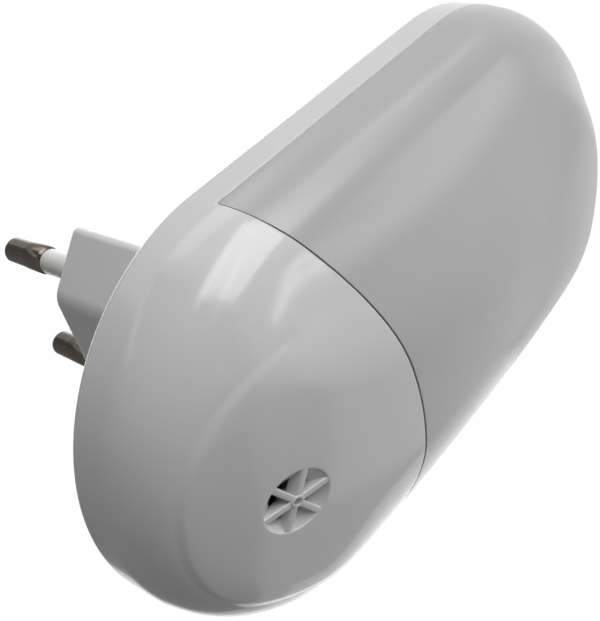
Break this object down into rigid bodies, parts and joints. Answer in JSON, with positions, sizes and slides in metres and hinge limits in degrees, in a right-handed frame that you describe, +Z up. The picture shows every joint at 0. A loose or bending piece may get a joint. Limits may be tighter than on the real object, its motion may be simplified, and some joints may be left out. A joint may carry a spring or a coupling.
{
  "type": "plug-in night light",
  "caption": "Pill-shaped plug-in night light with a frosted diffuser, a light sensor behind a spoked grille and a flat two-pin plug body on its back.",
  "frame": {"origin": "centre of the plug's engagement face", "axes": "+Y along the pins into the socket, +Z up towards the diffuser's end, front of the light at -Y"},
  "size_m": [0.055, 0.0666, 0.0978],
  "materials": {
    "housing_abs": "polished moulded ABS, cool light grey white",
    "diffuser_pc": "frosted polycarbonate, satin outside",
    "cover_abs": "satin moulded ABS",
    "plug_abs": "satin moulded plastic",
    "pin_nickel": "nickel plated turned brass",
    "sleeve_pa": "satin moulded polyamide",
    "board_fr4": "solder mask over glass epoxy",
    "led_white": "moulded white package",
    "phosphor": "yellow silicone",
    "sensor_epoxy": "clear cast epoxy",
    "black_plastic": "black moulded plastic",
    "film_box": "box capacitor case",
    "capacitor_can": "shrink sleeved aluminium can",
    "resistor_coat": "flame proof lacquer",
    "diode_glass": "glass body",
    "tinned_copper": "tinned copper wire",
    "screw_steel": "zinc plated steel"
  },
  "bodies": {
    "root": {"front_shell": "housing_abs", "diffuser": "diffuser_pc", "back_cover": "cover_abs", "plug_body": "plug_abs", "pin_left": "pin_nickel", "pin_right": "pin_nickel", "sleeve_left": "sleeve_pa", "sleeve_right": "sleeve_pa", "circuit_board": "board_fr4", "leds": "led_white", "led_phosphors": "phosphor", "light_sensor": "sensor_epoxy", "sensor_leads": "tinned_copper", "sensor_boot": "black_plastic", "film_capacitor": "film_box", "smoothing_capacitor": "capacitor_can", "bridge_rectifier": "black_plastic", "fusible_resistor": "resistor_coat", "resistors": "resistor_coat", "transistor": "black_plastic", "zener_diode": "diode_glass", "live_lead": "tinned_copper", "neutral_lead": "tinned_copper", "cover_screws": "screw_steel", "board_screws": "screw_steel"}
  },
  "joints": []
}
